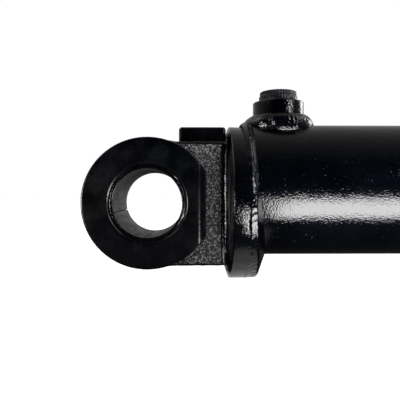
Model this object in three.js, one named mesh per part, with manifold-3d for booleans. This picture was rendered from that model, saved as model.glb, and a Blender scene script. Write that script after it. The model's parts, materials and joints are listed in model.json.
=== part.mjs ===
// Three-stage telescopic hydraulic cylinder, single acting, drawn fully closed.
// Millimetres. The origin is the centre of the base pin bore. +X runs along the barrel to the rod end,
// +Y lies along the base pin and +Z points up through the oil port.
import * as THREE from "three";
import { mergeVertices } from "three/addons/utils/BufferGeometryUtils.js";
import Module from "manifold-3d";

const wasm = await Module();
wasm.setup();

// Driving dimensions
const PIN_DIAMETER = 50;
const STROKE = 380;
const PIN_TO_PIN = 680;
const BARREL_AXIS_Z = 10;
const GAP = 0.3;
const RUNNING_GAP = 0.35;
const OUTER_SEGMENTS = 48;
const INNER_SEGMENTS = 32;

// Pin eyes, the same at both ends
const EYE = {
  radius: 47.8,
  width: 76,
  chamfer: 1,
  flatAt: 38,
  draftedFlatAt: 42.5,
  draftDepth: 5,
};
const BUSH = {
  bore: PIN_DIAMETER / 2,
  radius: PIN_DIAMETER / 2 + 2.5,
  length: 75,
  splitWidth: 0.8,
  splitDrop: 1.5,
};

// Forged neck block between the base eye and the collar
const NECK = { start: 10, halfWidth: 33, top: 45.5, bottom: -46.3, corner: 6 };
const TAB = { start: 22.2, halfWidth: 20, top: 57.6, corner: 4 };
const NECK_WELD_LEG = 3;

// Collar, the thick end cap that closes the barrel
const COLLAR = { start: 58.3, end: 74, radius: 60, bevel: 2.7, spigotRadius: 44.7, spigotEnd: 80 };
const NECK_END = COLLAR.start - GAP;
const COLLAR_WELD = { end: 80, tilt: 0.154, startRadius: 110, endRadius: 52.2 };

// Oil port on the barrel, heights measured from the barrel axis
const PORT = { x: 101, radius: 20, top: 69.2, threadRadius: 13, drillRadius: 11.5, chamfer: 1 };
const PORT_WELD = {
  bottom: { radius: 29.6, height: 38 },
  crown: { radius: 27.6, height: 51 },
  top: { radius: 20.9, height: 58.6 },
};
const PLUG = {
  shankRadius: 12.6,
  shankLength: 12,
  flangeRadius: 15.2,
  flangeHeight: 4.6,
  headRadius: 14.5,
  headHeight: 8.4,
  edge: 0.8,
  dishRadius: 10.8,
  dishDepth: 2.5,
};
const PLUG_SEAL = { inner: 12.9, outer: 14.1, height: 1.5 };

// Nested tubes, outermost first. The mouth is the outer end of the head nut, and the gland is how far
// the nut reaches past the end of its tube and also how far it screws back over it.
const TUBES = [
  { name: "barrel", radius: 51, bore: 45, start: COLLAR.end + GAP, nutRadius: 58, mouth: 530, gland: 30 },
  { name: "stage_1", radius: 41, bore: 35, start: 86, nutRadius: 47, mouth: 575, gland: 22 },
  { name: "stage_2", radius: 31, bore: 25, start: 86, nutRadius: 37, mouth: 620, gland: 22 },
];
const [BARREL] = TUBES;

// Gland rings from the mouth inwards: start and end as a share of the gland's length, and groove depth
const GLAND_RINGS = [
  { name: "wiper", from: 0.8, to: 1, depth: 4 },
  { name: "seal", from: 0.46, to: 0.7, depth: 5 },
  { name: "guide_ring", from: 0.11, to: 0.39, depth: 2.8 },
];
const NUT_CHAMFER = 1.5;
const NUT_CLEARANCE = 0.6;
const SPANNER_SLOT = { count: 4, width: 9, depth: 3, length: 12 };

// Rings carried by each moving tube at its lower end
const RING_GROOVE_DEPTH = 1.2;
const LOWER_GUIDE = { offset: 4, width: 14 };
const STOP_RING = { width: 8, clearance: 0.7 };
const RING_SPLIT_WIDTH = 1.5;

// Rod end
const ROD_NECK = { radius: 27, inner: 20, length: 54 };
const PLUNGER_END = PIN_TO_PIN - ROD_NECK.length - GAP;
const PLUNGER = { name: "plunger", radius: 22, bore: 14, start: 98 };
const FOOT = { start: 86, chamfer: 1.5, spigotLength: 6 };
const ROD_WELD_LEG = 4.4;

// Finishes
const BLACK_PAINT = { color: 0x0b0d11, roughness: 0.22, metalness: 0 };
const CAST_PAINT = { color: 0x0d0f12, roughness: 0.45, metalness: 0 };
const BUSH_STEEL = { color: 0x74766f, roughness: 0.45, metalness: 0.8 };
const PLATED_STEEL = { color: 0xc8ccd0, roughness: 0.15, metalness: 1 };
const RING_STEEL = { color: 0x8a8d90, roughness: 0.4, metalness: 1 };
const GUIDE_PLASTIC = { color: 0x9a6b2f, roughness: 0.6, metalness: 0 };
const SEAL_RUBBER = { color: 0x1c2f5c, roughness: 0.55, metalness: 0 };
const PLUG_PLASTIC = { color: 0x101215, roughness: 0.4, metalness: 0 };
const GLAND_FINISHES = { wiper: SEAL_RUBBER, seal: SEAL_RUBBER, guide_ring: GUIDE_PLASTIC };

// A solid of revolution round its own +Y. The outline is a list of [radius, height] points, which
// closes on itself.
function turned(outline, segments = INNER_SEGMENTS) {
  const points = outline.map(([radius, height]) => new THREE.Vector2(radius, height));
  if (THREE.ShapeUtils.isClockWise(points)) {
    points.reverse();
  }
  points.push(points[0].clone());
  return new THREE.LatheGeometry(points, segments);
}

// A ring of rectangular section round its own +Y
function ring(inner, outer, start, end, segments) {
  const outline = [
    [inner, start],
    [outer, start],
    [outer, end],
    [inner, end],
  ];
  return turned(outline, segments);
}

// A straight round bar round its own +Y
function bar(radius, start, end, segments = OUTER_SEGMENTS) {
  const geometry = new THREE.CylinderGeometry(radius, radius, end - start, segments);
  return geometry.translate(0, (start + end) / 2, 0);
}

// A rectangle with rounded corners in Y and Z, extruded along +X, its ends bevelled if asked
function roundedBar(halfWidth, bottom, top, corner, start, end, bevel = 0) {
  const left = corner - halfWidth;
  const right = halfWidth - corner;
  const low = bottom + corner;
  const high = top - corner;
  const quarter = Math.PI / 2;
  const shape = new THREE.Shape();
  shape.moveTo(halfWidth, low);
  shape.lineTo(halfWidth, high);
  shape.absarc(right, high, corner, 0, quarter);
  shape.lineTo(left, top);
  shape.absarc(left, high, corner, quarter, 2 * quarter);
  shape.lineTo(-halfWidth, low);
  shape.absarc(left, low, corner, 2 * quarter, 3 * quarter);
  shape.lineTo(right, bottom);
  shape.absarc(right, low, corner, 3 * quarter, 4 * quarter);
  const geometry = new THREE.ExtrudeGeometry(shape, {
    depth: end - start - 2 * bevel,
    curveSegments: 4,
    bevelEnabled: bevel > 0,
    bevelThickness: bevel,
    bevelSize: bevel,
    bevelOffset: -bevel,
    bevelSegments: 1,
  });
  const drawnInYz = new THREE.Matrix4().makeBasis(
    new THREE.Vector3(0, 1, 0),
    new THREE.Vector3(0, 0, 1),
    new THREE.Vector3(1, 0, 0),
  );
  return geometry.applyMatrix4(drawnInYz).translate(start + bevel, 0, 0);
}

function toManifold(geometry) {
  const bare = geometry.clone();
  bare.deleteAttribute("normal");
  bare.deleteAttribute("uv");
  const merged = mergeVertices(bare);
  const mesh = new wasm.Mesh({
    numProp: 3,
    vertProperties: new Float32Array(merged.attributes.position.array),
    triVerts: new Uint32Array(merged.index.array),
  });
  return new wasm.Manifold(mesh);
}

function toGeometry(manifold) {
  const mesh = manifold.getMesh();
  const geometry = new THREE.BufferGeometry();
  geometry.setAttribute("position", new THREE.BufferAttribute(mesh.vertProperties, 3));
  geometry.setIndex(new THREE.BufferAttribute(mesh.triVerts, 1));
  geometry.computeVertexNormals();
  return geometry;
}

function join(first, ...others) {
  return toGeometry(others.reduce((body, other) => body.add(toManifold(other)), toManifold(first)));
}

function cut(first, ...tools) {
  return toGeometry(tools.reduce((body, tool) => body.subtract(toManifold(tool)), toManifold(first)));
}

function trimmedTo(first, envelope) {
  return toGeometry(toManifold(first).intersect(toManifold(envelope)));
}

// The round eye with its bush bore along Y. Its side towards +X is trimmed by two drafted flats.
function eye() {
  const bore = BUSH.radius + GAP;
  const half = EYE.width / 2;
  const outline = [
    [bore, EYE.chamfer - half],
    [bore + EYE.chamfer, -half],
    [EYE.radius - EYE.chamfer, -half],
    [EYE.radius, EYE.chamfer - half],
    [EYE.radius, half - EYE.chamfer],
    [EYE.radius - EYE.chamfer, half],
    [bore + EYE.chamfer, half],
    [bore, half - EYE.chamfer],
  ];
  const envelope = new THREE.Shape([
    new THREE.Vector2(-2 * EYE.radius, -half),
    new THREE.Vector2(EYE.flatAt, -half),
    new THREE.Vector2(EYE.draftedFlatAt, EYE.draftDepth - half),
    new THREE.Vector2(EYE.draftedFlatAt, half - EYE.draftDepth),
    new THREE.Vector2(EYE.flatAt, half),
    new THREE.Vector2(-2 * EYE.radius, half),
  ]);
  const height = 4 * EYE.radius;
  const trim = new THREE.ExtrudeGeometry(envelope, { depth: height, bevelEnabled: false });
  return trimmedTo(turned(outline, OUTER_SEGMENTS), trim.translate(0, 0, -height / 2));
}

// An eye joined to the parts of its neck, which leave the bore clear
function lug(...neckParts) {
  return cut(join(eye(), ...neckParts), bar(BUSH.radius + GAP, -EYE.width, EYE.width));
}

function baseLug() {
  const neck = roundedBar(NECK.halfWidth, NECK.bottom, NECK.top, NECK.corner, NECK.start, NECK_END);
  const tab = roundedBar(TAB.halfWidth, 0, TAB.top, TAB.corner, TAB.start, NECK_END);
  return lug(neck, tab);
}

function rodLug() {
  return lug(bar(ROD_NECK.radius, ROD_NECK.inner, ROD_NECK.length).rotateZ(-Math.PI / 2));
}

// Rolled steel bush, its butt joint on the side away from the barrel and a little below centre
function splitBush() {
  const half = BUSH.length / 2;
  const sleeve = ring(BUSH.bore, BUSH.radius, -half, half, OUTER_SEGMENTS);
  const slit = new THREE.BoxGeometry(BUSH.radius, 2 * BUSH.length, BUSH.splitWidth);
  return cut(sleeve, slit.translate(-BUSH.radius, 0, -BUSH.splitDrop));
}

// Fillet weld round the neck block where it meets the collar, interrupted by the tab
function neckWeld() {
  const leg = NECK_WELD_LEG;
  const toe = NECK_END - leg;
  const past = NECK_END + 2 * leg;
  const bead = roundedBar(
    NECK.halfWidth + leg,
    NECK.bottom - leg,
    NECK.top + leg,
    NECK.corner + leg,
    toe,
    past,
    leg,
  );
  const neck = roundedBar(
    NECK.halfWidth + GAP,
    NECK.bottom - GAP,
    NECK.top + GAP,
    NECK.corner,
    toe - leg,
    past + leg,
  );
  const tab = roundedBar(TAB.halfWidth + GAP, 0, TAB.top, TAB.corner, toe - leg, past + leg);
  const collarFace = new THREE.BoxGeometry(4 * leg, 4 * NECK.top, 4 * NECK.top);
  return cut(bead, neck, tab, collarFace.translate(NECK_END + 2 * leg, 0, 0));
}

// Thick disc with a spigot that centres the barrel tube, and so sits on the barrel axis
function collar() {
  const disc = turned(
    [
      [0, COLLAR.start],
      [COLLAR.radius - COLLAR.bevel, COLLAR.start],
      [COLLAR.radius, COLLAR.start + COLLAR.bevel],
      [COLLAR.radius, COLLAR.end],
      [0, COLLAR.end],
    ],
    OUTER_SEGMENTS,
  );
  const spigot = bar(COLLAR.spigotRadius, COLLAR.start + COLLAR.bevel, COLLAR.spigotEnd);
  return join(disc, spigot.translate(0, 0, BARREL_AXIS_Z));
}

// Oblique weld from the collar's rim to the barrel, which sits higher than the collar. It is longest
// underneath, where the step is deepest.
function collarWeld() {
  const length = COLLAR_WELD.end - COLLAR.start;
  const cone = new THREE.CylinderGeometry(
    COLLAR_WELD.endRadius,
    COLLAR_WELD.startRadius,
    length,
    OUTER_SEGMENTS,
  );
  const lean = new THREE.Matrix4().makeShear(0, 0, 0, BARREL_AXIS_Z / length, 0, -COLLAR_WELD.tilt);
  cone.translate(0, length / 2, 0).applyMatrix4(lean).translate(0, COLLAR.start, 0);
  const reach = COLLAR_WELD.end + COLLAR.radius;
  const envelope = bar(COLLAR.radius - GAP, COLLAR.end + GAP, reach);
  const barrel = bar(BARREL.radius + GAP, COLLAR.start, reach);
  return cut(trimmedTo(cone, envelope), barrel.translate(0, 0, BARREL_AXIS_Z));
}

function tubeEnd(tube) {
  return tube.mouth - tube.gland;
}

function barrelTube() {
  const tube = ring(BARREL.bore, BARREL.radius, BARREL.start, tubeEnd(BARREL), OUTER_SEGMENTS);
  const drill = bar(PORT.drillRadius, 0, 2 * BARREL.radius, INNER_SEGMENTS).rotateX(Math.PI / 2);
  return cut(tube, drill.translate(0, PORT.x, 0));
}

// The barrel as a bar that crosses the port's own +Y axis
function barrelAcrossPort() {
  return bar(BARREL.radius + GAP, -BARREL.radius, BARREL.radius).rotateX(Math.PI / 2);
}

function portBoss() {
  const sleeve = turned(
    [
      [PORT.threadRadius, 0],
      [PORT.radius, 0],
      [PORT.radius, PORT.top - PORT.chamfer],
      [PORT.radius - PORT.chamfer, PORT.top],
      [PORT.threadRadius, PORT.top],
    ],
    OUTER_SEGMENTS,
  );
  const aboveAxis = new THREE.BoxGeometry(2 * BARREL.radius, BARREL.radius, 2 * BARREL.radius);
  return cut(sleeve, barrelAcrossPort(), aboveAxis);
}

// Fillet weld that fills the corner between the boss and the barrel
function portWeld() {
  const { bottom, crown, top } = PORT_WELD;
  const inner = PORT.radius + GAP;
  const fillet = turned(
    [
      [inner, bottom.height],
      [bottom.radius, bottom.height],
      [crown.radius, crown.height],
      [top.radius, top.height],
      [inner, top.height],
    ],
    OUTER_SEGMENTS,
  );
  return cut(fillet, barrelAcrossPort());
}

// Plug with a threaded shank, a flange that covers its seal and a dished head
function portPlug() {
  const seat = PORT.top + GAP;
  return turned([
    [0, PORT.top - PLUG.shankLength],
    [PLUG.shankRadius - 1, PORT.top - PLUG.shankLength],
    [PLUG.shankRadius, PORT.top - PLUG.shankLength + 1],
    [PLUG.shankRadius, seat + PLUG_SEAL.height],
    [PLUG_SEAL.outer + GAP, seat + PLUG_SEAL.height],
    [PLUG_SEAL.outer + GAP, seat],
    [PLUG.flangeRadius, seat],
    [PLUG.flangeRadius, PORT.top + PLUG.flangeHeight],
    [PLUG.headRadius, PORT.top + PLUG.flangeHeight],
    [PLUG.headRadius, PORT.top + PLUG.headHeight - PLUG.edge],
    [PLUG.headRadius - PLUG.edge, PORT.top + PLUG.headHeight],
    [PLUG.dishRadius, PORT.top + PLUG.headHeight],
    [PLUG.dishRadius, PORT.top + PLUG.headHeight - PLUG.dishDepth],
    [0, PORT.top + PLUG.headHeight - PLUG.dishDepth],
  ]);
}

function plugSeal() {
  const seat = PORT.top + GAP;
  return ring(PLUG_SEAL.inner, PLUG_SEAL.outer, seat, seat + PLUG_SEAL.height - GAP);
}

// Head nut screwed over the end of its tube. Its gland is grooved for the rings that seal on the inner
// tube, and its shoulder stops that tube's stop ring.
function headNut(tube, inner) {
  const end = tubeEnd(tube);
  const start = end - tube.gland;
  const bore = inner.radius + NUT_CLEARANCE;
  const outline = [
    [tube.radius + GAP, end + GAP],
    [tube.radius + GAP, start],
    [tube.nutRadius - NUT_CHAMFER, start],
    [tube.nutRadius, start + NUT_CHAMFER],
    [tube.nutRadius, tube.mouth - NUT_CHAMFER],
    [tube.nutRadius - NUT_CHAMFER, tube.mouth],
  ];
  for (const { from, to, depth } of GLAND_RINGS) {
    if (to < 1) {
      outline.push([bore, end + to * tube.gland]);
    }
    outline.push([inner.radius + depth, end + to * tube.gland]);
    outline.push([inner.radius + depth, end + from * tube.gland]);
    outline.push([bore, end + from * tube.gland]);
  }
  outline.push([bore, end + GAP]);
  const slots = Array.from({ length: SPANNER_SLOT.count }, (_, i) => {
    const slot = new THREE.BoxGeometry(2 * SPANNER_SLOT.depth, SPANNER_SLOT.length, SPANNER_SLOT.width);
    slot.translate(tube.nutRadius, tube.mouth - SPANNER_SLOT.length / 2 + 1, 0);
    return slot.rotateY((2 * Math.PI * (i + 0.5)) / SPANNER_SLOT.count);
  });
  return cut(turned(outline), ...slots);
}

function glandRing(tube, inner, { from, to, depth }) {
  const end = tubeEnd(tube);
  return ring(
    inner.radius + RUNNING_GAP,
    inner.radius + depth - GAP,
    end + from * tube.gland + GAP,
    end + to * tube.gland - GAP,
  );
}

// Where a moving tube carries its two lower rings. The stop ring meets the shoulder of the outer
// tube's head nut at full stroke.
function lowerRings(tube, outer) {
  const guideStart = tube.start + LOWER_GUIDE.offset;
  const stopEnd = tubeEnd(outer) - STROKE;
  return {
    lower_guide_ring: { start: guideStart, end: guideStart + LOWER_GUIDE.width, clearance: RUNNING_GAP },
    stop_ring: { start: stopEnd - STOP_RING.width, end: stopEnd, clearance: STOP_RING.clearance },
  };
}

function movingTube(tube, end, outer) {
  const groove = tube.radius - RING_GROOVE_DEPTH;
  const outline = [
    [tube.bore, tube.start],
    [tube.radius, tube.start],
  ];
  for (const span of Object.values(lowerRings(tube, outer))) {
    outline.push([tube.radius, span.start - GAP]);
    outline.push([groove, span.start - GAP]);
    outline.push([groove, span.end + GAP]);
    outline.push([tube.radius, span.end + GAP]);
  }
  outline.push([tube.radius, end]);
  outline.push([tube.bore, end]);
  return turned(outline);
}

// A ring cut through on one side so that it springs into its groove
function splitRing(tube, outer, { start, end, clearance }) {
  const inside = tube.radius - RING_GROOVE_DEPTH + GAP;
  const whole = ring(inside, outer.bore - clearance, start, end);
  const slit = new THREE.BoxGeometry(tube.radius, 2 * (end - start), RING_SPLIT_WIDTH);
  return cut(whole, slit.translate(tube.radius, (start + end) / 2, 0));
}

// Solid foot that closes the plunger, with a spigot inside the tube
function plungerFoot() {
  const face = PLUNGER.start - GAP;
  return turned([
    [0, FOOT.start],
    [PLUNGER.radius - FOOT.chamfer, FOOT.start],
    [PLUNGER.radius, FOOT.start + FOOT.chamfer],
    [PLUNGER.radius, face],
    [PLUNGER.bore - GAP, face],
    [PLUNGER.bore - GAP, face + FOOT.spigotLength],
    [0, face + FOOT.spigotLength],
  ]);
}

function rodWeld() {
  const inside = PLUNGER.radius + GAP;
  return turned([
    [inside, PLUNGER_END - ROD_WELD_LEG],
    [inside + ROD_WELD_LEG, PLUNGER_END],
    [inside, PLUNGER_END],
  ]);
}

function addPiece(parent, name, geometry, finish) {
  const mesh = new THREE.Mesh(geometry, new THREE.MeshStandardMaterial(finish));
  mesh.name = name;
  parent.add(mesh);
}

// A group whose +Y lies along the cylinder's +X, at a height above the base pin
function alongX(z) {
  const group = new THREE.Group();
  group.rotation.z = -Math.PI / 2;
  group.position.z = z;
  return group;
}

function addBaseEnd(parent) {
  addPiece(parent, "base_lug", baseLug(), CAST_PAINT);
  addPiece(parent, "base_bush", splitBush(), BUSH_STEEL);
  addPiece(parent, "lug_weld", neckWeld(), BLACK_PAINT);
  const capGroup = alongX(0);
  addPiece(capGroup, "base_cap", collar(), BLACK_PAINT);
  addPiece(capGroup, "cap_weld", collarWeld(), BLACK_PAINT);
  parent.add(capGroup);
}

function addPort(barrelGroup) {
  const port = new THREE.Group();
  port.rotation.x = Math.PI / 2;
  port.position.y = PORT.x;
  addPiece(port, "port_boss", portBoss(), BLACK_PAINT);
  addPiece(port, "port_weld", portWeld(), BLACK_PAINT);
  addPiece(port, "port_plug", portPlug(), PLUG_PLASTIC);
  addPiece(port, "plug_seal_ring", plugSeal(), SEAL_RUBBER);
  barrelGroup.add(port);
}

function addGland(parent, tube, inner) {
  addPiece(parent, `${tube.name}_head_nut`, headNut(tube, inner), BLACK_PAINT);
  for (const glandRingSize of GLAND_RINGS) {
    const finish = GLAND_FINISHES[glandRingSize.name];
    addPiece(parent, `${tube.name}_${glandRingSize.name}`, glandRing(tube, inner, glandRingSize), finish);
  }
}

function addLowerRings(parent, tube, outer) {
  const spans = lowerRings(tube, outer);
  const guide = splitRing(tube, outer, spans.lower_guide_ring);
  const stop = splitRing(tube, outer, spans.stop_ring);
  addPiece(parent, `${tube.name}_lower_guide_ring`, guide, GUIDE_PLASTIC);
  addPiece(parent, `${tube.name}_stop_ring`, stop, RING_STEEL);
}

function addRodEnd(parent) {
  const rodEye = new THREE.Group();
  rodEye.position.set(PIN_TO_PIN, 0, BARREL_AXIS_Z);
  rodEye.rotation.z = Math.PI;
  addPiece(rodEye, "rod_lug", rodLug(), CAST_PAINT);
  addPiece(rodEye, "rod_bush", splitBush(), BUSH_STEEL);
  parent.add(rodEye);
}

const cylinder = new THREE.Group();
addBaseEnd(cylinder);

const tubes = alongX(BARREL_AXIS_Z);
cylinder.add(tubes);
addPiece(tubes, "barrel_tube", barrelTube(), BLACK_PAINT);
addPort(tubes);
const inners = [...TUBES.slice(1), PLUNGER];
TUBES.forEach((tube, i) => addGland(tubes, tube, inners[i]));
inners.forEach((tube, i) => {
  const end = tube === PLUNGER ? PLUNGER_END : tubeEnd(tube);
  addPiece(tubes, `${tube.name}_tube`, movingTube(tube, end, TUBES[i]), PLATED_STEEL);
  addLowerRings(tubes, tube, TUBES[i]);
});
addPiece(tubes, "plunger_foot", plungerFoot(), RING_STEEL);
addPiece(tubes, "rod_lug_weld", rodWeld(), BLACK_PAINT);
addRodEnd(cylinder);

export default cylinder;
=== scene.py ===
"""Telescopic hydraulic cylinder: fine surfaces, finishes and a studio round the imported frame."""
import json
import math

import bmesh
import bpy
import numpy as np
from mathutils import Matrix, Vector


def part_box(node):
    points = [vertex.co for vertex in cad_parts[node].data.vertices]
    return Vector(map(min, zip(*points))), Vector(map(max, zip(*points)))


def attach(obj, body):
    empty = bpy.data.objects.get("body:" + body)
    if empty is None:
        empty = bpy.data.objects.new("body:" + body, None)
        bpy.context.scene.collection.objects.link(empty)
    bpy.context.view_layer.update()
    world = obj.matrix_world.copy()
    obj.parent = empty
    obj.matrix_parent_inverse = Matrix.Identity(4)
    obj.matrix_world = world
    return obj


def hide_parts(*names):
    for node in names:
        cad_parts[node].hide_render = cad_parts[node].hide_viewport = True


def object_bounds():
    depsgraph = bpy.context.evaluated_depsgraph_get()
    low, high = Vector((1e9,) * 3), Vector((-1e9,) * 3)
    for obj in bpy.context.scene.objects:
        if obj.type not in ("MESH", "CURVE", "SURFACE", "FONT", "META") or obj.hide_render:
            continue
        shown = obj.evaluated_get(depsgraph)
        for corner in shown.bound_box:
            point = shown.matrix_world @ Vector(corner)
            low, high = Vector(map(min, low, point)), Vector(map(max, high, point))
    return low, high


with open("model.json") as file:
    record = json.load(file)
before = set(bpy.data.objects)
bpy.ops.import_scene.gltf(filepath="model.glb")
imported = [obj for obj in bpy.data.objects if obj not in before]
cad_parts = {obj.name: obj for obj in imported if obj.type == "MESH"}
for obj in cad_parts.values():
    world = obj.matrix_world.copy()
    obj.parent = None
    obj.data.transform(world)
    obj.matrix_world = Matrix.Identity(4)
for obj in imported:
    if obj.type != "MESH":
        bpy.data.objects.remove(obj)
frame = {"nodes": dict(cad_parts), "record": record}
CAD_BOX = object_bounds()

MM = 0.001
TAU = 2 * math.pi
RECORD = frame["record"]
BODY_OF = {node: body for body, nodes in RECORD["behaviour"]["bodies"].items() for node in nodes}
SLOT_OF = {entry["node"]: entry["material_slot"] for entry in RECORD["subparts"]}


# ---------------------------------------------------------------- sizes from the frame, in millimetres

def span(node):
    """A node's lowest and highest corners in millimetres."""
    low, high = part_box(node)
    return np.array(low) / MM, np.array(high) / MM


class Round:
    """A node turned about a line parallel to X: its ends, outer radius and axis height."""

    def __init__(self, node):
        low, high = span(node)
        self.start, self.end = low[0], high[0]
        self.radius = (high[1] - low[1]) / 2
        self.height = (high[2] + low[2]) / 2


BARREL = Round("barrel_tube")
COLLAR = Round("base_cap")
PLUNGER = Round("plunger_tube")
EYE_LOW, EYE_HIGH = span("base_lug")
EYE_RADIUS = -EYE_LOW[0]
EYE_HALF = EYE_HIGH[1]
NECK_END = EYE_HIGH[0]
TAB_TOP = EYE_HIGH[2]
BUSH_RADIUS = span("base_bush")[1][0]
BUSH_HALF = span("base_bush")[1][1]
BUSH_WALL = 2.5
ROD_PIN = np.array([span("rod_bush")[0][0] + BUSH_RADIUS, 0, BARREL.height])
PORT_X = (span("port_plug")[0][0] + span("port_plug")[1][0]) / 2
BOSS_TOP = span("port_boss")[1][2]
BOSS_RADIUS = span("port_boss")[1][1]


# ---------------------------------------------------------------- smooth noise for shapes

def lattice(ix, iy, iz, seed):
    """A repeatable value from -1 to 1 for each whole-numbered lattice point."""
    mixed = (ix * 374761393 + iy * 668265263 + iz * 1274126177 + seed * 974634777) & 0xFFFFFFFF
    mixed = ((mixed ^ (mixed >> 13)) * 1103515245) & 0xFFFFFFFF
    mixed ^= mixed >> 16
    return mixed / 0x7FFFFFFF - 1


def noise(x, y, z, size, seed=0):
    """Value noise from -1 to 1 whose lumps are about size across."""
    scaled = [np.asarray(v, float) / size for v in np.broadcast_arrays(x, y, z)]
    cell = [np.floor(v).astype(np.int64) for v in scaled]
    part = [v - c for v, c in zip(scaled, cell)]
    ease = [p * p * (3 - 2 * p) for p in part]
    total = 0
    for corner in np.ndindex(2, 2, 2):
        weight = 1
        for e, c in zip(ease, corner):
            weight = weight * (e if c else 1 - e)
        total = total + weight * lattice(*(c + step for c, step in zip(cell, corner)), seed)
    return total


# ---------------------------------------------------------------- mesh helpers

def new_piece(name, points, faces, material, sharp_degrees=38):
    """A smooth-shaded closed mesh from points in millimetres."""
    mesh = bpy.data.meshes.new(name)
    mesh.from_pydata((np.asarray(points) * MM).tolist(), [], faces)
    work = bmesh.new()
    work.from_mesh(mesh)
    bmesh.ops.remove_doubles(work, verts=work.verts, dist=1e-6)
    bmesh.ops.recalc_face_normals(work, faces=work.faces)
    work.to_mesh(mesh)
    work.free()
    mesh.shade_smooth()
    mesh.set_sharp_from_angle(angle=math.radians(sharp_degrees))
    mesh.materials.append(material)
    piece = bpy.data.objects.new(name, mesh)
    bpy.context.scene.collection.objects.link(piece)
    return piece


def stand_for(piece, node):
    """The piece replaces a CAD node and rides on its body."""
    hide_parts(node)
    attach(piece, BODY_OF[node])
    return piece


def rounded(corners, radius, steps=3):
    """A closed outline with each corner softened, except where it sits on the axis."""
    corners = [np.asarray(c, float) for c in corners]
    outline = []
    for i, corner in enumerate(corners):
        before, after = corners[i - 1], corners[(i + 1) % len(corners)]
        if abs(corner[1]) < 1e-6:
            outline.append(corner)
            continue
        back, ahead = before - corner, after - corner
        back_length, ahead_length = np.linalg.norm(back), np.linalg.norm(ahead)
        reach = min(radius, 0.45 * back_length, 0.45 * ahead_length)
        start = corner + back / back_length * reach
        end = corner + ahead / ahead_length * reach
        for t in np.linspace(0, 1, steps + 1):
            outline.append((1 - t) ** 2 * start + 2 * t * (1 - t) * corner + t**2 * end)
    return np.array(outline)


def grid_faces(around, along):
    """Quads over an array of around x along points that closes on itself both ways."""
    faces = []
    for i in range(around):
        ahead = (i + 1) % around
        for j in range(along):
            right = (j + 1) % along
            faces.append((i * along + j, ahead * along + j, ahead * along + right, i * along + right))
    return faces


def turned_points(outline, height, angles):
    """Points of an [x, radius] outline turned about a line along X. Angle 0 is up, 90 is towards -Y."""
    x, radius = outline[:, 0], outline[:, 1]
    a = np.asarray(angles)[:, None]
    return np.stack(
        [np.broadcast_to(x, (len(a), len(x))), -radius * np.sin(a), height + radius * np.cos(a)], axis=2
    )


def full_turn(count):
    return np.arange(count) * TAU / count


def turned(name, corners, height, material, soften=0.8, count=160, reshape=None):
    """A turned piece with softened edges. reshape may change its array of points."""
    outline = rounded(corners, soften)
    angles = full_turn(count)
    points = turned_points(outline, height, angles)
    if reshape is not None:
        points = reshape(points, angles, outline)
    return new_piece(name, points.reshape(-1, 3), grid_faces(len(angles), len(outline)), material)


def surface_net(field, low, high, cell):
    """Points and quads of the zero level of a distance field, sampled on a grid of cells."""
    axes = [np.arange(a, b + cell, cell) for a, b in zip(low, high)]
    nodes = np.stack(np.meshgrid(*axes, indexing="ij"), axis=3)
    value = field(nodes[..., 0], nodes[..., 1], nodes[..., 2])
    cells = tuple(n - 1 for n in value.shape)
    total = np.zeros(cells + (3,))
    hits = np.zeros(cells)
    for axis in range(3):
        v, p = np.moveaxis(value, axis, 0), np.moveaxis(nodes, axis, 0)
        t, h = np.moveaxis(total, axis, 0), np.moveaxis(hits, axis, 0)
        crossed = (v[:-1] < 0) != (v[1:] < 0)
        share = np.where(crossed, v[:-1] / np.where(crossed, v[:-1] - v[1:], 1), 0)
        at = (p[:-1] + (p[1:] - p[:-1]) * share[..., None]) * crossed[..., None]
        for du, dv in np.ndindex(2, 2):
            near = (slice(None), slice(du, crossed.shape[1] - 1 + du), slice(dv, crossed.shape[2] - 1 + dv))
            t += at[near]
            h += crossed[near]
    used = hits > 0
    index = np.full(cells, -1)
    index[used] = np.arange(used.sum())
    points = total[used] / hits[used][:, None]
    quads = []
    for axis in range(3):
        v, number = np.moveaxis(value, axis, 0), np.moveaxis(index, axis, 0)
        crossed = ((v[:-1] < 0) != (v[1:] < 0))[:, 1:-1, 1:-1]
        i, j, k = np.nonzero(crossed)
        corners = [number[i, j, k], number[i, j + 1, k], number[i, j + 1, k + 1], number[i, j, k + 1]]
        quads.append(np.stack(corners, axis=1))
    return pulled_on_to(field, points, cell), np.concatenate(quads).tolist()


def pulled_on_to(field, points, cell, rounds=3, probe=0.02):
    """Moves points down the field's slope until they lie on its zero level."""
    for _ in range(rounds):
        here = field(*points.T)
        slope = np.empty_like(points)
        for axis in range(3):
            step = np.zeros(3)
            step[axis] = probe
            slope[:, axis] = (field(*(points + step).T) - field(*(points - step).T)) / (2 * probe)
        move = slope * (here / np.maximum((slope**2).sum(1), 1e-3))[:, None]
        length = np.maximum(np.linalg.norm(move, axis=1, keepdims=True), 1e-9)
        points = points - move * np.minimum(1, 0.6 * cell / length)
    return points


# ---------------------------------------------------------------- distance fields

def smooth_max(a, b, k):
    h = np.maximum(k - np.abs(a - b), 0) / k
    return np.maximum(a, b) + h * h * k / 4


def smooth_min(a, b, k):
    return -smooth_max(-a, -b, k)


def box_field(x, y, z, low, high, radius):
    """A box with rounded edges."""
    centre = [(a + b) / 2 for a, b in zip(low, high)]
    half = [(b - a) / 2 - radius for a, b in zip(low, high)]
    d = [np.abs(v - c) - h for v, c, h in zip((x, y, z), centre, half)]
    outside = np.sqrt(sum(np.maximum(v, 0) ** 2 for v in d))
    return outside + np.minimum(np.maximum(np.maximum(d[0], d[1]), d[2]), 0) - radius


def disc_field(across, along, radius, half, edge):
    """A round bar of a half length, its rims rounded."""
    radial = across - (radius - edge)
    axial = np.abs(along) - (half - edge)
    outside = np.sqrt(np.maximum(radial, 0) ** 2 + np.maximum(axial, 0) ** 2)
    return outside + np.minimum(np.maximum(radial, axial), 0) - edge


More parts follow.
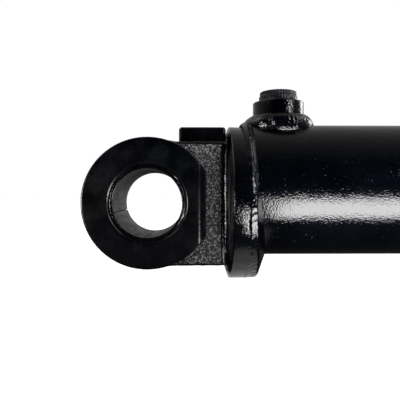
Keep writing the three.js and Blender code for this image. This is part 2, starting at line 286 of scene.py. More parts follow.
# ---------------------------------------------------------------- finishes

def empty_material(name):
    material = bpy.data.materials.new(name)
    material.use_nodes = True
    return material, material.node_tree, material.node_tree.nodes["Principled BSDF"]


def texture(tree, size_mm, detail=3.0, stretch=(1, 1, 1), crisp=0.5):
    """Noise whose grains are about size_mm across."""
    place = tree.nodes.new("ShaderNodeTexCoord")
    scale = tree.nodes.new("ShaderNodeMapping")
    scale.inputs["Scale"].default_value = stretch
    grain = tree.nodes.new("ShaderNodeTexNoise")
    grain.inputs["Scale"].default_value = 1 / (size_mm * MM)
    grain.inputs["Detail"].default_value = detail
    grain.inputs["Roughness"].default_value = crisp
    tree.links.new(place.outputs["Object"], scale.inputs["Vector"])
    tree.links.new(scale.outputs["Vector"], grain.inputs["Vector"])
    return grain.outputs["Fac"]


def ramp(tree, factor, low, high, start=0.35, end=0.65):
    """A colour or a grey that goes from low to high as the factor goes from start to end."""
    node = tree.nodes.new("ShaderNodeValToRGB")
    first, last = node.color_ramp.elements
    first.position, last.position = start, end
    first.color = (*low, 1) if isinstance(low, tuple) else (low, low, low, 1)
    last.color = (*high, 1) if isinstance(high, tuple) else (high, high, high, 1)
    tree.links.new(factor, node.inputs["Fac"])
    return node.outputs["Color"]


def combine(tree, operation, a, b):
    """A Math node on two sockets or numbers."""
    node = tree.nodes.new("ShaderNodeMath")
    node.operation = operation
    for socket, value in zip(node.inputs, (a, b)):
        if isinstance(value, (int, float)):
            socket.default_value = value
        else:
            tree.links.new(value, socket)
    return node.outputs[0]


def layered(tree, factor, below, above):
    """A colour that is below where the factor is 0 and above where it is 1."""
    node = tree.nodes.new("ShaderNodeMix")
    node.data_type = "RGBA"
    tree.links.new(factor, node.inputs["Factor"])
    tree.links.new(below, node.inputs["A"])
    tree.links.new(above, node.inputs["B"])
    return node.outputs["Result"]


def add_bump(tree, shader, height, depth_mm, under=None):
    node = tree.nodes.new("ShaderNodeBump")
    node.inputs["Distance"].default_value = depth_mm * MM
    tree.links.new(height, node.inputs["Height"])
    if under is not None:
        tree.links.new(under, node.inputs["Normal"])
    tree.links.new(node.outputs["Normal"], shader.inputs["Normal"])
    return node.outputs["Normal"]


DEEP_BLACK = (0.0002, 0.0004, 0.0011)
WORN_BLACK = (0.0006, 0.0009, 0.0019)


def gloss_paint():
    """Thick black gloss over steel, with orange peel, dust and a little dulling."""
    material, tree, shader = empty_material("black_gloss_paint")
    tone = ramp(tree, texture(tree, 30), DEEP_BLACK, WORN_BLACK)
    dust = ramp(tree, texture(tree, 1.6, detail=1.0), 0.0, 1.0, 0.72, 0.78)
    grey = ramp(tree, texture(tree, 9), (0.008, 0.008, 0.010), (0.028, 0.029, 0.031))
    tree.links.new(layered(tree, dust, tone, grey), shader.inputs["Base Color"])
    gloss = ramp(tree, texture(tree, 14, detail=5.0), 0.08, 0.13)
    tree.links.new(gloss, shader.inputs["Roughness"])
    peel = add_bump(tree, shader, texture(tree, 1.2, detail=1.0), 0.22)
    add_bump(tree, shader, texture(tree, 24, detail=2.0), 0.4, peel)
    return material


def forging_paint():
    """The same black: satin on machined faces; where the forged attribute is 1, rough and blasted, with
    pale grey flakes painted into its colour as painted glints of the rough paint.
    """
    material, tree, shader = empty_material("black_forging_paint")
    forged = tree.nodes.new("ShaderNodeAttribute")
    forged.attribute_name = "forged"
    rough_skin = forged.outputs["Fac"]
    tone = ramp(tree, texture(tree, 18), DEEP_BLACK, WORN_BLACK)
    smudge = ramp(tree, texture(tree, 12, detail=6.0, crisp=0.7), 0.0, 1.0, 0.5, 0.8)
    haze = ramp(tree, texture(tree, 2.0), (0.002, 0.0025, 0.004), (0.009, 0.010, 0.013))
    painted = layered(tree, smudge, tone, haze)
    # Pale grey flakes in the forged skin's colour: painted glints standing in for the sparkle of its rough
    # black paint.
    painted_glint_grains = texture(tree, 1.3, detail=2.0, crisp=0.7)
    scale = ramp(tree, painted_glint_grains, (0.002, 0.0025, 0.004), (0.26, 0.27, 0.28), 0.52, 0.61)
    tree.links.new(layered(tree, rough_skin, painted, scale), shader.inputs["Base Color"])
    satin = ramp(tree, texture(tree, 11, detail=5.0), 0.17, 0.28)
    blasted = ramp(tree, texture(tree, 2.4), 0.26, 0.4)
    tree.links.new(layered(tree, rough_skin, satin, blasted), shader.inputs["Roughness"])
    grit = combine(tree, "MULTIPLY", texture(tree, 1.5, detail=2.0, crisp=0.6), rough_skin)
    skin = add_bump(tree, shader, grit, 1.4)
    add_bump(tree, shader, texture(tree, 2.2, detail=2.0), 0.08, skin)
    return material


def bush_steel():
    """Rolled steel with fine scratches along the pin and a dull film."""
    material, tree, shader = empty_material("rolled_bush_steel")
    tone = ramp(tree, texture(tree, 9, detail=5.0), (0.075, 0.078, 0.073), (0.15, 0.153, 0.145))
    tree.links.new(tone, shader.inputs["Base Color"])
    shader.inputs["Metallic"].default_value = 0.75
    film = ramp(tree, texture(tree, 3.0, stretch=(1, 0.08, 1)), 0.42, 0.6)
    tree.links.new(film, shader.inputs["Roughness"])
    add_bump(tree, shader, texture(tree, 0.5, stretch=(1, 0.06, 1)), 0.03)
    return material


def plated_steel():
    """Hard plating, ground round the tube."""
    material, tree, shader = empty_material("ground_plating")
    tone = ramp(tree, texture(tree, 40), (0.60, 0.62, 0.64), (0.70, 0.72, 0.74))
    tree.links.new(tone, shader.inputs["Base Color"])
    shader.inputs["Metallic"].default_value = 1.0
    lay = texture(tree, 0.4, detail=2.0, stretch=(1, 0.02, 0.02))
    tree.links.new(ramp(tree, lay, 0.10, 0.20), shader.inputs["Roughness"])
    add_bump(tree, shader, lay, 0.01)
    return material


def turned_steel():
    """Bare steel with tool marks."""
    material, tree, shader = empty_material("turned_steel")
    tone = ramp(tree, texture(tree, 12), (0.34, 0.35, 0.36), (0.46, 0.47, 0.48))
    tree.links.new(tone, shader.inputs["Base Color"])
    shader.inputs["Metallic"].default_value = 1.0
    tree.links.new(ramp(tree, texture(tree, 2), 0.3, 0.45), shader.inputs["Roughness"])
    add_bump(tree, shader, texture(tree, 0.6, stretch=(1, 0.05, 0.05)), 0.03)
    return material


def moulded(name, dark, light, roughness, grain_mm, depth_mm):
    """A moulded plastic or rubber with a fine skin."""
    material, tree, shader = empty_material(name)
    tree.links.new(ramp(tree, texture(tree, 6, detail=4.0), dark, light), shader.inputs["Base Color"])
    skin = ramp(tree, texture(tree, 4), roughness - 0.06, roughness + 0.08)
    tree.links.new(skin, shader.inputs["Roughness"])
    add_bump(tree, shader, texture(tree, grain_mm), depth_mm)
    return material


GLOSS = gloss_paint()
FORGED = forging_paint()
BUSH = bush_steel()
PLATED = plated_steel()
TURNED = turned_steel()
RUBBER = moulded("seal_polyurethane", (0.012, 0.02, 0.06), (0.02, 0.035, 0.09), 0.42, 0.5, 0.02)
RESIN = moulded("guide_ring_resin", (0.30, 0.17, 0.06), (0.42, 0.26, 0.10), 0.5, 0.7, 0.05)
# Dark matte for the bush's joint: painted shade in the gap.
PAINTED_JOINT_SHADE = moulded("painted_joint_shade", (0.006, 0.006, 0.007), (0.014, 0.014, 0.015), 0.9, 1.0, 0.05)
PLASTIC = moulded("plug_plastic", (0.004, 0.0045, 0.006), (0.009, 0.010, 0.013), 0.3, 0.6, 0.02)


# ---------------------------------------------------------------- pin eyes

EYE_FLAT = 38.0
DRAFTED_FLAT = 42.5
DRAFT_DEPTH = 5.0
BORE_GAP = 0.3
BORE_CHAMFER = 1.3
NECK_HALF_WIDTH = 33.0
NECK_LOW, NECK_HIGH = -46.3, 45.5
TAB_START, TAB_HALF_WIDTH = 22.2, 20.0
ROD_NECK_RADIUS, ROD_NECK_LENGTH = 27.0, 54.0
# Box, in each lug's own frame, of the rough forged skin and its painted glint flakes.
FORGED_LOW = np.array([12, -NECK_HALF_WIDTH - 0.6, NECK_LOW + 1.5])
FORGED_HIGH = np.array([NECK_END - 4, NECK_HALF_WIDTH + 0.6, NECK_HIGH - 2.5])


def eye_field(x, y, z):
    """The eye, its side towards +X trimmed flat and drafted on both faces."""
    disc = disc_field(np.hypot(x, z), y, EYE_RADIUS, EYE_HALF, 0.8)
    run = DRAFTED_FLAT - EYE_FLAT
    draft = ((x - EYE_FLAT) * DRAFT_DEPTH + (np.abs(y) - EYE_HALF) * run) / math.hypot(run, DRAFT_DEPTH)
    return smooth_max(smooth_max(disc, draft, 1.0), x - DRAFTED_FLAT, 0.8)


def bored(body, x, y, z):
    """The bush's bore, with a chamfer at each mouth."""
    bore = np.hypot(x, z) - BUSH_RADIUS - BORE_GAP
    mouth = (bore - np.abs(y) + EYE_HALF - BORE_CHAMFER) / math.sqrt(2)
    return smooth_max(body, -np.minimum(bore, mouth), 0.5)


def base_field(x, y, z):
    """Eye, neck block and tab in one forging. The neck keeps its hammered skin."""
    block = box_field(x, y, z, (0, -NECK_HALF_WIDTH, NECK_LOW), (NECK_END, NECK_HALF_WIDTH, NECK_HIGH), 3.0)
    tab = box_field(x, y, z, (TAB_START, -TAB_HALF_WIDTH, 0), (NECK_END, TAB_HALF_WIDTH, TAB_TOP), 2.5)
    skin = 0.16 * noise(x, y, z, 2.0, 1) + 0.08 * noise(x, y, z, 5.0, 2)
    neck = smooth_min(block + 0.2 + skin, tab + 0.1, 2.5)
    return bored(smooth_min(eye_field(x, y, z), neck, 3.0), x, y, z)


def rod_field(x, y, z):
    neck_middle = ROD_NECK_LENGTH / 2
    neck = disc_field(np.hypot(y, z), x - neck_middle, ROD_NECK_RADIUS, neck_middle, 2.0)
    skin = 0.12 * noise(x, y, z, 3.0, 3)
    return bored(smooth_min(eye_field(x, y, z), neck + 0.15 + skin, 6.0), x, y, z)


def forged_lug(node, field, high, place, cell):
    """A lug meshed from its field, with machined places marked as not forged."""
    low = (-EYE_RADIUS - 2, -EYE_HALF - 2, -EYE_RADIUS - 2)
    points, quads = surface_net(field, low, high, cell)
    piece = new_piece(f"{node}_forging", place(points), quads, FORGED, sharp_degrees=60)
    # forged is 1 on the rough skin, which also takes the painted glint flakes.
    forged = piece.data.attributes.new("forged", "FLOAT", "POINT")
    for vertex, value in zip(piece.data.vertices, forged.data):
        own = place(np.array(vertex.co) / MM, back=True)
        value.value = float(np.all((FORGED_LOW < own) & (own < FORGED_HIGH)))
    stand_for(piece, node)


def base_place(points, back=False):
    """The base lug is drawn where it stands."""
    return points


def base_lug():
    forged_lug("base_lug", base_field, (NECK_END + 2, EYE_HALF + 2, TAB_TOP + 2), base_place, 0.75)


def rod_place(points, back=False):
    """The rod's lug is turned half round its pin. back goes from the cylinder's frame to the lug's."""
    return (points - ROD_PIN) * (-1, -1, 1) if back else points * (-1, -1, 1) + ROD_PIN


def rod_lug():
    forged_lug("rod_lug", rod_field, (ROD_NECK_LENGTH + 2, EYE_HALF + 2, EYE_RADIUS + 2), rod_place, 1.2)


SPLIT_DROP = 6.7
SPLIT_HALF = 0.35
SPLIT_DEPTH = 1.4


def bush(node, pin, facing):
    """A rolled sleeve with its butt joint filled to a shallow groove, which takes a dark matte as painted
    shade in the gap. facing is -1 or 1: the joint's side of the pin.
    """
    inner = BUSH_RADIUS - BUSH_WALL
    corners = [(-BUSH_HALF, inner), (-BUSH_HALF, BUSH_RADIUS), (BUSH_HALF, BUSH_RADIUS), (BUSH_HALF, inner)]
    outline = rounded(corners, 0.9)
    joint = TAU / 4 + math.asin(SPLIT_DROP / inner)
    half = SPLIT_HALF / inner
    sleeve = np.linspace(joint + half, joint + TAU - half, 160)
    angles = np.concatenate([[joint - 0.8 * half, joint + 0.8 * half], sleeve])
    p = turned_points(outline, 0, angles)
    sunk = np.maximum(outline, [-np.inf, inner + SPLIT_DEPTH])
    p[:2] = turned_points(sunk, 0, angles[:2])
    points = np.stack([-facing * p[..., 1], p[..., 0], p[..., 2]], axis=2) + pin
    faces = grid_faces(len(angles), len(outline))
    piece = new_piece(f"{node}_sleeve", points.reshape(-1, 3), faces, BUSH)
    piece.data.materials.append(GLOSS)
    piece.data.materials.append(PAINTED_JOINT_SHADE)
    rim = (BUSH_HALF - 0.5) * MM
    for face in piece.data.polygons:
        face.material_index = int(abs(face.center.y) > rim)
    # The joint's floor and walls take the dark matte: painted shade in the gap.
    joint_faces = 2 * len(outline)
    for face in piece.data.polygons[:joint_faces] + piece.data.polygons[-len(outline):]:
        face.material_index = 2
    stand_for(piece, node)


# ---------------------------------------------------------------- collar, barrel and their welds

COLLAR_HEIGHT = 0.0
COLLAR_END = 74.0


def collar():
    """Gas-cut disc, bevelled towards the neck."""
    edge = COLLAR.radius
    corners = [
        (COLLAR.start, 0),
        (COLLAR.start, edge - 7.5),
        (COLLAR.start + 2.6, edge - 0.3),
        (COLLAR_END, edge - 0.6),
        (COLLAR_END, 0),
    ]

    def cut_skin(points, angles, outline):
        across = np.moveaxis(points, 2, 0)
        lumps = 0.10 * noise(*across, 2.4, 5) + 0.14 * noise(*across, 8.0, 6)
        scale = 1 - (0.25 - lumps * (outline[:, 1] > edge - 8)) / edge
        return np.concatenate([points[..., :1], points[..., 1:] * scale[..., None]], axis=2)

    stand_for(turned("base_cap_disc", corners, COLLAR_HEIGHT, GLOSS, 1.0, 420, cut_skin), "base_cap")


BEAD_STEPS = 15
TUBE_WALL = 6
PLUNGER_WALL = 8


def bead_piece(node, surface, inside):
    """A closed weld bead from its outer surface and the curves that close it underneath."""
    points = np.concatenate([surface, inside], axis=1)
    faces = grid_faces(points.shape[0], points.shape[1])
    piece = new_piece(f"{node}_bead", points.reshape(-1, 3), faces, GLOSS, sharp_degrees=75)
    return stand_for(piece, node)


def around_barrel(angles, radius, x):
    """Points at a radius and place along the barrel. Angle 0 is up."""
    radius, x, angles = np.broadcast_arrays(radius, x, angles)
    return np.stack([x, -radius * np.sin(angles), BARREL.height + radius * np.cos(angles)], axis=-1)


def ripples(turn, across, count, seed):
    """Uneven weld ripples from 0 to 1, trailing back from the middle of the bead."""
    slow = noise(turn * count / 5, 0, 0, 1.0, seed)
    quick = noise(turn * count / 2, across * 2, 0, 1.0, seed + 1)
    drift = 1.3 * slow + 0.4 * quick
    phase = turn * count + drift - 1.2 * (2 * across - 1) ** 2
    return 0.5 + 0.5 * np.cos(TAU * phase)


def collar_weld():
    """From the collar's rim to the barrel, thickest underneath where the step is deepest."""
    angles = full_turn(1500)[:, None]
    up, side = np.cos(angles), np.sin(angles)
    u = np.linspace(0, 1, 3 * BEAD_STEPS)[None, :]
    rise = BARREL.height - COLLAR_HEIGHT

    def rim(edge):
        return -rise * up + np.sqrt(edge**2 - (rise * side) ** 2)

    toe = 79.5 - 5.0 * up + 4.0 * up**2 + 0.5 * noise(angles * 9, 0, 0, 1.0, 31)
    first = 70.7 + 0.6 * noise(angles * 8, 3, 0, 1.0, 32)
    x = first + (toe - first) * u
    shoulder = smooth_max(rim(COLLAR.radius - 0.9), BARREL.radius + 1.0, 2.0)
    slope = BARREL.radius + (toe - x) * (2.2 - 0.4 * up)
    radius = smooth_min(np.broadcast_to(shoulder, x.shape), slope, 3.0)
    crest = np.exp(-(((x - 73.2) / 1.5) ** 2)) * (0.5 + 0.9 * np.clip(up, 0, 1) ** 2)
    wave = ripples(angles / TAU, u, 88, 33)
    lumps = noise(x, 40 * side, 40 * up, 2.6, 34)
    radius = radius + crest + (0.14 * wave + 0.26 * lumps - 0.2) * np.sin(math.pi * u) ** 0.5
    limit = smooth_max(rim(COLLAR.radius - 0.3), BARREL.radius + 3.0, 1.0)
    radius = np.maximum(np.minimum(radius, limit), BARREL.radius + 0.02)
    inner = BARREL.radius - 0.5
    inside = np.stack([around_barrel(angles[:, 0], inner, v) for v in (toe[:, 0], first[:, 0] + 1)], axis=1)
    bead_piece("cap_weld", around_barrel(angles, radius, x), inside)


def barrel_tube():
    bore = BARREL.radius - TUBE_WALL
    corners = [
        (BARREL.start, bore),
        (BARREL.start, BARREL.radius),
        (BARREL.end, BARREL.radius),
        (BARREL.end, bore),
    ]
    stand_for(turned("barrel_tube_wall", corners, BARREL.height, GLOSS, 0.8, 288), "barrel_tube")


# ---------------------------------------------------------------- oil port

BOSS_BORE = 13.0
WELD_TOP = BOSS_TOP - 10.6
WELD_REACH = 27.6


def barrel_surface(y, above=0.0):
    """Height of the barrel's surface at a distance from its crown."""
    return BARREL.height + np.sqrt((BARREL.radius + above) ** 2 - y**2)


def port_boss():
    corners = [
        (WELD_TOP - 12, BOSS_BORE),
        (WELD_TOP - 12, BOSS_RADIUS),
        (BOSS_TOP, BOSS_RADIUS),
        (BOSS_TOP, BOSS_BORE),
    ]
    outline = rounded(corners, 1.0)
    p = turned_points(outline, 0, full_turn(144))
    points = np.stack([PORT_X + p[..., 2], p[..., 1], p[..., 0]], axis=2)
    seat = barrel_surface(points[..., 1], 0.1)
    points[..., 2] = np.where(points[..., 2] < WELD_TOP - 6, seat, points[..., 2])
    piece = new_piece("port_boss_sleeve", points.reshape(-1, 3), grid_faces(*points.shape[:2]), GLOSS)
    stand_for(piece, "port_boss")


def round_port(angles, radius, height):
    """Points at a radius and height round the port. Angle 0 is towards +X."""
    angles, radius, height = np.broadcast_arrays(angles, radius, height)
    return np.stack([PORT_X + radius * np.cos(angles), radius * np.sin(angles), height], axis=-1)


def port_weld():
    """A fillet that runs down the saddle from the boss to the barrel, rolled over at its lower toe."""
    angles = full_turn(1000)[:, None]
    c, s = np.cos(angles), np.sin(angles)
    u = np.linspace(0, 1, 2 * BEAD_STEPS)[None, :]
    root = BOSS_RADIUS - 0.4
    reach = WELD_REACH - 0.9 * s**2 + 0.8 * noise(5 * c, 5 * s, 0, 2.0, 21)
    top = WELD_TOP + 0.6 * noise(4 * c, 4 * s, 3, 2.0, 22)
    crown = barrel_surface(root * s)
    fullness = 1.35 + 0.75 * s**2
    down = np.cos(math.pi / 2 * u) ** (2 / fullness)
    along = np.sin(math.pi / 2 * u) ** (2 / fullness)
    radius = root + 0.9 * down + (reach - root) * along
    roll = 2.0 * s**2 * np.sin(math.pi * u)
    wave = ripples(angles / TAU, u, 34, 23)
    lumps = noise(radius * c, radius * s, 20 * u, 5.0, 24)
    bulge = roll + (0.16 * wave + 0.4 * lumps) * np.sin(math.pi * u)
    height = crown + (top - crown) * down + (barrel_surface(reach * s) - crown) * along
    surface = round_port(angles, radius + bulge, height + 0.3 * bulge)
    sunk = barrel_surface((root - 0.3) * s, -0.5)
    inside = np.stack(
        [
            round_port(angles[:, 0], reach[:, 0] - 1, barrel_surface((reach - 1) * s, -0.5)[:, 0]),
            round_port(angles[:, 0], root - 0.3, sunk[:, 0]),
            round_port(angles[:, 0], root - 0.3, top[:, 0] - 0.3),
        ],
        axis=1,
    )
    bead_piece("port_weld", surface, inside)


PLUG_RIBS = 44
FLANGE_RADIUS, FLANGE_TOP = 15.2, 4.6
HEAD_RADIUS, HEAD_TOP = 14.5, 8.4
DISH_RADIUS, DISH_DEPTH = 10.8, 2.5
SHANK_RADIUS, SHANK_LENGTH = 12.6, 12.0
SEAL_ROOM, SEAL_HEIGHT = 14.4, 1.8
RIB_DEPTH = 0.3


def port_plug():
    """Moulded plug with a ribbed head, a flange over its seal and a dished top."""
    corners = [
        (-SHANK_LENGTH, 0),
        (-SHANK_LENGTH, SHANK_RADIUS),
        (SEAL_HEIGHT, SHANK_RADIUS),
        (SEAL_HEIGHT, SEAL_ROOM),
        (0.3, SEAL_ROOM),
        (0.3, FLANGE_RADIUS),
        (FLANGE_TOP, FLANGE_RADIUS),
        (FLANGE_TOP + 0.5, HEAD_RADIUS),
        (HEAD_TOP, HEAD_RADIUS),
        (HEAD_TOP, DISH_RADIUS),
        (HEAD_TOP - DISH_DEPTH, DISH_RADIUS),
        (HEAD_TOP - DISH_DEPTH, 0),
    ]
    outline = rounded(corners, 0.7, 3)
    angles = full_turn(PLUG_RIBS * 10)
    ribbed = (outline[:, 0] > 1.2) & (outline[:, 1] > DISH_RADIUS + 0.8)
    groove = RIB_DEPTH * (0.5 - 0.5 * np.cos(PLUG_RIBS * angles)) ** 1.5
    p = turned_points(outline, 0, angles)
    squeeze = 1 - ribbed[None, :] * groove[:, None] / HEAD_RADIUS
    points = np.stack([PORT_X + p[..., 2] * squeeze, p[..., 1] * squeeze, BOSS_TOP + p[..., 0]], axis=2)
    piece = new_piece("port_plug_body", points.reshape(-1, 3), grid_faces(*points.shape[:2]), PLASTIC, 30)
    stand_for(piece, "port_plug")


# ---------------------------------------------------------------- tubes, nuts and rings

SLOTS, SLOT_WIDTH, SLOT_DEPTH, SLOT_LENGTH = 4, 9.0, 3.0, 11.0
TUBES = ["barrel", "stage_1", "stage_2", "plunger"]


def head_nut(name, inner):
    """Screwed gland nut with spanner slots in its outer end."""
    node = f"{name}_head_nut"
    nut, tube = Round(node), Round(f"{inner}_tube")
    wiper, outer = Round(f"{name}_wiper"), Round(f"{name}_tube")
    bore = tube.radius + 0.6
    thread = outer.radius + 0.3
    slot_end = nut.end - SLOT_LENGTH
    corners = [
        (nut.start, thread),
        (nut.start, nut.radius),
        (slot_end - 0.4, nut.radius),
        (slot_end, nut.radius),
        (nut.end, nut.radius),
        (nut.end, wiper.radius + 0.3),
        (wiper.start - 0.3, wiper.radius + 0.3),
        (wiper.start - 0.3, bore),
        (outer.end + 0.3, bore),
        (outer.end + 0.3, thread),
    ]
    outline = rounded(corners, 1.4, 3)
    half = SLOT_WIDTH / 2 / nut.radius
    middles = [TAU * (i + 0.5) / SLOTS for i in range(SLOTS)]
    offsets = [side * (half + step) for side in (-1, 1) for step in (0, 0.004)]
    edges = [middle + offset for middle in middles for offset in offsets]
    angles = np.unique(np.concatenate([full_turn(160), edges]))
    away = np.abs((angles * SLOTS / TAU) % 1 - 0.5) * TAU / SLOTS
    in_slot = (away <= half + 1e-9)[:, None] & (outline[:, 0] > slot_end - 0.1)[None, :]
    in_slot &= (outline[:, 1] > nut.radius - SLOT_DEPTH)[None, :]
    p = turned_points(outline, 0, angles)
    squeeze = np.where(in_slot, (nut.radius - SLOT_DEPTH) / outline[:, 1][None, :], 1)
    p[..., 1] *= squeeze
    p[..., 2] *= squeeze
    p[..., 2] += nut.height
    piece = new_piece(f"{node}_body", p.reshape(-1, 3), grid_faces(*p.shape[:2]), GLOSS)
    stand_for(piece, node)


def wiper(name, inner):
    """Scraper ring whose lip leans on the tube."""
    node = f"{name}_wiper"
    ring, tube = Round(node), Round(f"{inner}_tube")
    lip = tube.radius + 0.25
    corners = [
        (ring.start, lip + 1.0),
        (ring.start, ring.radius),
        (ring.end, ring.radius),
        (ring.end - 0.8, lip + 1.6),
        (ring.end + 0.1, lip),
        (ring.end - 1.6, lip),
    ]
    stand_for(turned(f"{node}_lip", corners, ring.height, RUBBER, 0.3, 160), node)


def moving_tube(name):
    """Plated tube with grooves for the rings that it carries."""
    tube = Round(f"{name}_tube")
    bore = tube.radius - (PLUNGER_WALL if name == "plunger" else TUBE_WALL)
    corners = [(tube.start, bore), (tube.start, tube.radius)]
    for ring in (Round(f"{name}_lower_guide_ring"), Round(f"{name}_stop_ring")):
        corners += [
            (ring.start - 0.3, tube.radius),
            (ring.start - 0.3, tube.radius - 1.2),
            (ring.end + 0.3, tube.radius - 1.2),
            (ring.end + 0.3, tube.radius),
        ]
    corners += [(tube.end, tube.radius), (tube.end, bore)]
    stand_for(turned(f"{name}_tube_wall", corners, tube.height, PLATED, 0.4, 192), f"{name}_tube")


def rod_weld():
    weld = Round("rod_lug_weld")
    angles = full_turn(600)[:, None]
    u = np.linspace(0, 1, BEAD_STEPS)[None, :]
    root = PLUNGER.radius + 0.05
    wave = ripples(angles / TAU, u, 46, 41)
    lumps = noise(20 * np.cos(angles), 20 * np.sin(angles), 8 * u, 2.5, 42)
    radius = root + (weld.radius - 0.3 - root) * u + (0.35 * wave + 0.25 * lumps) * np.sin(math.pi * u)
    x = weld.start + (weld.end + 0.2 - weld.start) * u
    inner = PLUNGER.radius - 0.3
    ends = (weld.end + 0.2, weld.start + 0.5)
    inside = np.stack([around_barrel(angles[:, 0], inner, end) for end in ends], axis=1)
    bead_piece("rod_lug_weld", around_barrel(angles, radius, x), inside)


def neck_weld():
    """Small concave fillet round the neck block where it meets the collar."""
    leg, corner = 3.0, 6.0
    middle = (NECK_HIGH + NECK_LOW) / 2
    straight_y = NECK_HALF_WIDTH - corner
    straight_z = (NECK_HIGH - NECK_LOW) / 2 - corner
    angles = full_turn(1200)[:, None]
    c, s = np.cos(angles), np.sin(angles)
    u = np.linspace(0, 1, BEAD_STEPS)[None, :]
    lumps = noise(30 * c, 30 * s, 6 * u, 2.5, 15)
    out = corner + leg * (1 - np.cos(math.pi / 2 * u)) + 0.25 * lumps * np.sin(math.pi * u)
    along = NECK_END - leg + (leg + 0.2) * np.sin(math.pi / 2 * u)

    def neck_ring(out, x):
        y = np.clip(1.7 * c, -1, 1) * straight_y + c * out
        z = middle + np.clip(1.7 * s, -1, 1) * straight_z + s * out
        return np.stack(np.broadcast_arrays(x, y, z), axis=-1)

    buried = corner - 0.6
    hidden = [neck_ring(buried, x) for x in (NECK_END + 0.2, NECK_END - leg + 0.5)]
    inside = np.concatenate(hidden, axis=1)
    bead_piece("lug_weld", neck_ring(out, along), inside)


def finish_hidden_nodes():
    """The rings and the foot keep their CAD shape and get a finish each."""
    finishes = {"seal_rubber": RUBBER, "guide_plastic": RESIN, "ring_steel": TURNED}
    for node, cad in frame["nodes"].items():
        finish = finishes.get(SLOT_OF[node])
        if finish is not None and not cad.hide_render:
            cad.data.materials.clear()
            cad.data.materials.append(finish)


# ---------------------------------------------------------------- studio

def area_light(name, place, target, width, power, height):
    light = bpy.data.lights.new(name, "AREA")
    light.energy = power
    light.shape = "RECTANGLE"
    light.size = width
    light.size_y = height
    lamp = bpy.data.objects.new(name, light)
    lamp.location = place
    lamp.rotation_euler = (Vector(target) - Vector(place)).to_track_quat("-Z", "Y").to_euler()
    lamp.visible_camera = False
    bpy.context.scene.collection.objects.link(lamp)


def seen_by_camera(tree):
    return tree.nodes.new("ShaderNodeLightPath").outputs["Is Camera Ray"]


SIDE_BANK = 1.2


def fade(tree, value, start, end, low, high):
    """Goes from low to high as the value goes from start to end."""
    node = tree.nodes.new("ShaderNodeMapRange")
    for name, number in (("From Min", start), ("From Max", end), ("To Min", low), ("To Max", high)):
        node.inputs[name].default_value = number
    tree.links.new(value, node.inputs["Value"])
    return node.outputs["Result"]


def studio_world():
    """White behind the object for the camera. As a light it is dark in front, brighter behind, with a
    soft bank high on the left and right."""
    world = bpy.data.worlds.new("studio")
    world.use_nodes = True
    bpy.context.scene.world = world
    tree = world.node_tree
    background = tree.nodes["Background"]
    background.inputs["Color"].default_value = (1, 1, 1, 1)
    place = tree.nodes.new("ShaderNodeTexCoord")
    split = tree.nodes.new("ShaderNodeSeparateXYZ")
    tree.links.new(place.outputs["Generated"], split.inputs["Vector"])
    x, y, z = (split.outputs[axis] for axis in "XYZ")
    sky = fade(tree, y, -0.7, 1.0, 0.005, 0.42)
    sideways = fade(tree, combine(tree, "ABSOLUTE", x, 0), 0.50, 0.65, 0, SIDE_BANK)
    bank = combine(tree, "MULTIPLY", sideways, fade(tree, z, 0.45, 0.6, 0, 1))
    lit = combine(tree, "ADD", sky, bank)
    tree.links.new(combine(tree, "MAXIMUM", lit, seen_by_camera(tree)), background.inputs["Strength"])


def studio_floor():
    bpy.ops.mesh.primitive_plane_add(size=8, location=(0.3, 0, CAD_BOX[0][2] - 0.0002))
    floor = bpy.context.object
    floor.name = "studio_floor"
    material = bpy.data.materials.new("pale_floor")
    material.use_nodes = True
    tree = material.node_tree
    shader = tree.nodes["Principled BSDF"]
    tree.links.new(ramp(tree, seen_by_camera(tree), 0.12, 0.8, 0.0, 1.0), shader.inputs["Base Color"])
    shader.inputs["Roughness"].default_value = 0.9
    shader.inputs["Specular IOR Level"].default_value = 0.0
    shader.inputs["Emission Color"].default_value = (1, 1, 1, 1)
    glow = combine(tree, "MULTIPLY", seen_by_camera(tree), 0.985)
    tree.links.new(glow, shader.inputs["Emission Strength"])
    floor.data.materials.append(material)


PANEL_HEIGHT = -0.057


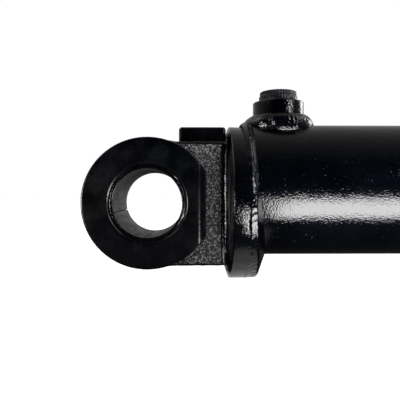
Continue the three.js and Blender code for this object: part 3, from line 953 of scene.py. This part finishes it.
def floor_panel(name, centre, width, height, power):
    """A panel of light just above the floor, facing straight up."""
    place = (*centre, PANEL_HEIGHT)
    target = (centre[0], centre[1] + 0.0001, 1.0)
    area_light(name, place, target, width, power, height)


def studio_lights():
    """Panels on the floor in front and behind, one low at the left, one high at the right on each
    side of the barrel, and a faint strip under the collar."""
    floor_panel("barrel_panel", (0.187, -0.174), 0.196, 0.172, 1.70)
    floor_panel("rear_panel", (0.44, 0.24), 0.52, 0.2, 3.0)
    area_light("neck_light", (-0.32, -0.33, 0.0), (0.04, -0.03, 0), 0.16, 0.9, 0.09)
    area_light("far_window", (0.80, 0.42, 0.30), (0.3, 0, 0), 0.3, 1.4, 0.2)
    area_light("window", (0.60, -0.50, 0.27), (0.08, 0, 0.06), 0.16, 1.1, 0.12)
    area_light("collar_bounce", (0.071, 0, -0.0600), (0.071, 0.0001, 1.0), 0.03, 0.007, 0.12)


CAMERA_PLACE = (33.0 * MM, -375.6 * MM, 6.3 * MM)
CAMERA_LENS = 42.3
YAW_DEGREES = 0.85
PITCH_DEGREES = 0.67


def photo_camera():
    """Stands in front of the base eye, nearly along the pin."""
    data = bpy.data.cameras.new("camera")
    data.sensor_width = 36
    data.lens = CAMERA_LENS
    data.clip_start = 0.01
    camera = bpy.data.objects.new("camera", data)
    camera.location = CAMERA_PLACE
    aim = Vector((math.tan(math.radians(YAW_DEGREES)), 1, -math.tan(math.radians(PITCH_DEGREES))))
    camera.rotation_euler = aim.to_track_quat("-Z", "Y").to_euler()
    bpy.context.scene.collection.objects.link(camera)
    bpy.context.scene.camera = camera
    bpy.context.scene.view_settings.view_transform = "Standard"


photo_camera()
base_lug()
bush("base_bush", np.zeros(3), -1)
collar()
collar_weld()
neck_weld()
barrel_tube()
port_boss()
port_weld()
port_plug()
for outer_name, inner_name in zip(TUBES, TUBES[1:]):
    head_nut(outer_name, inner_name)
    wiper(outer_name, inner_name)
    moving_tube(inner_name)
rod_lug()
bush("rod_bush", ROD_PIN, 1)
rod_weld()
finish_hidden_nodes()
studio_world()
studio_floor()
studio_lights()
